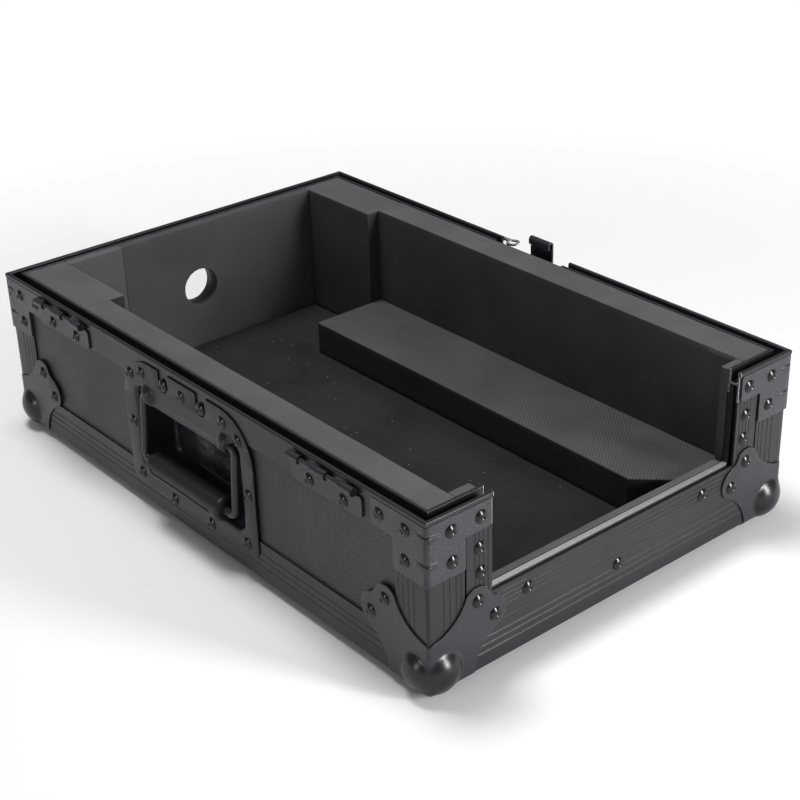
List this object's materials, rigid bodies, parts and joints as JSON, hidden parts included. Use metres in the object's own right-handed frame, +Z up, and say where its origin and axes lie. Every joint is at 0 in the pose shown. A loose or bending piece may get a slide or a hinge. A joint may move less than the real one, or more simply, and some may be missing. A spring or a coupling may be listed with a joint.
{
  "type": "flight case base",
  "caption": "Open flight case base for a table-top mixer: foam-lined plywood tray with edge extrusions, ball corners, a swing handle and a twist latch.",
  "frame": {"origin": "on the ground under the middle of the case", "axes": "+X to the right wall with the latch, +Y to the rear wall with the cable port, +Z up; the open front faces -Y and the handle is on -X"},
  "size_m": [0.3482, 0.512, 0.14],
  "materials": {
    "laminate": "black laminated plywood with a fine tread pattern",
    "anodised": "black anodised, satin",
    "black_steel": "black powder coat with a slight sparkle",
    "rivet_black": "gloss black",
    "bare_aluminium": "bare, brushed",
    "bare_steel": "bright plated",
    "foam": "dark grey closed-cell foam, matt",
    "foam_floor": "near-black foam with specks",
    "grip": "moulded black grip"
  },
  "bodies": {
    "case": {"base_panel": "laminate", "left_panel": "laminate", "right_panel": "laminate", "rear_panel": "laminate", "front_panel": "laminate", "rim_left": "anodised", "rim_right": "anodised", "rim_rear": "anodised", "rim_front_left": "anodised", "rim_front_right": "anodised", "post_left": "anodised", "post_right": "anodised", "sill_channel": "anodised", "sill_bar": "bare_aluminium", "corner_angle_front_left": "anodised", "corner_bracket_front_left": "black_steel", "ball_corner_front_left": "black_steel", "corner_angle_front_right": "anodised", "corner_bracket_front_right": "black_steel", "ball_corner_front_right": "black_steel", "corner_angle_rear_right": "anodised", "corner_bracket_rear_right": "black_steel", "ball_corner_rear_right": "black_steel", "corner_angle_rear_left": "anodised", "corner_bracket_rear_left": "black_steel", "ball_corner_rear_left": "black_steel", "bottom_angle_front": "anodised", "rivets_front": "rivet_black", "bottom_angle_right": "anodised", "rivets_right": "rivet_black", "bottom_angle_rear": "anodised", "rivets_rear": "rivet_black", "bottom_angle_left": "anodised", "rivets_left": "rivet_black", "rivets_bottom": "rivet_black", "foam_left": "foam", "foam_left_rear": "foam", "foam_right": "foam", "foam_right_rear": "foam", "foam_rear_left": "foam", "foam_rear_main": "foam", "foam_front_left": "foam", "foam_front_right": "foam", "foam_front_sill": "foam", "foam_ledge": "foam", "foam_floor": "foam_floor", "hinge_front": "black_steel", "hinge_rear": "black_steel", "hinge_pins": "black_steel", "handle_dish": "black_steel", "latch_dish": "black_steel", "latch_housing": "black_steel", "padlock_tab": "bare_steel"},
    "handle": {"handle_bail": "black_steel", "handle_grip": "grip"},
    "latch_cam": {"latch_spindle": "black_steel", "latch_wing_pins": "black_steel"},
    "hook": {"latch_hook": "black_steel"},
    "wing_front": {"latch_wing_front": "black_steel"},
    "wing_rear": {"latch_wing_rear": "black_steel"}
  },
  "joints": [
    {"name": "handle_swing", "type": "hinge", "parent": "case", "child": "handle", "pos_m": [-0.1635, 0.003, 0.098], "axis": [0, 1, 0], "range_deg": [0, 86]},
    {"name": "latch_turn", "type": "hinge", "parent": "case", "child": "latch_cam", "pos_m": [0.17, -0.003, 0.092], "axis": [1, 0, 0], "range_deg": [0, 180]},
    {"name": "latch_lift", "type": "slide", "parent": "case", "child": "hook", "axis": [0, 0, 1], "range_m": [-0.008, 0]},
    {"name": "wing_front_fold", "type": "hinge", "parent": "latch_cam", "child": "wing_front", "pos_m": [0.17, -0.0116, 0.092], "axis": [0, 0, 1], "range_deg": [0, 90]},
    {"name": "wing_rear_fold", "type": "hinge", "parent": "latch_cam", "child": "wing_rear", "pos_m": [0.17, 0.0056, 0.092], "axis": [0, 0, -1], "range_deg": [0, 90]}
  ],
  "couplings": [
    {"joint": "latch_turn", "follows": "latch_lift", "rad_per_m": -392.5}
  ]
}
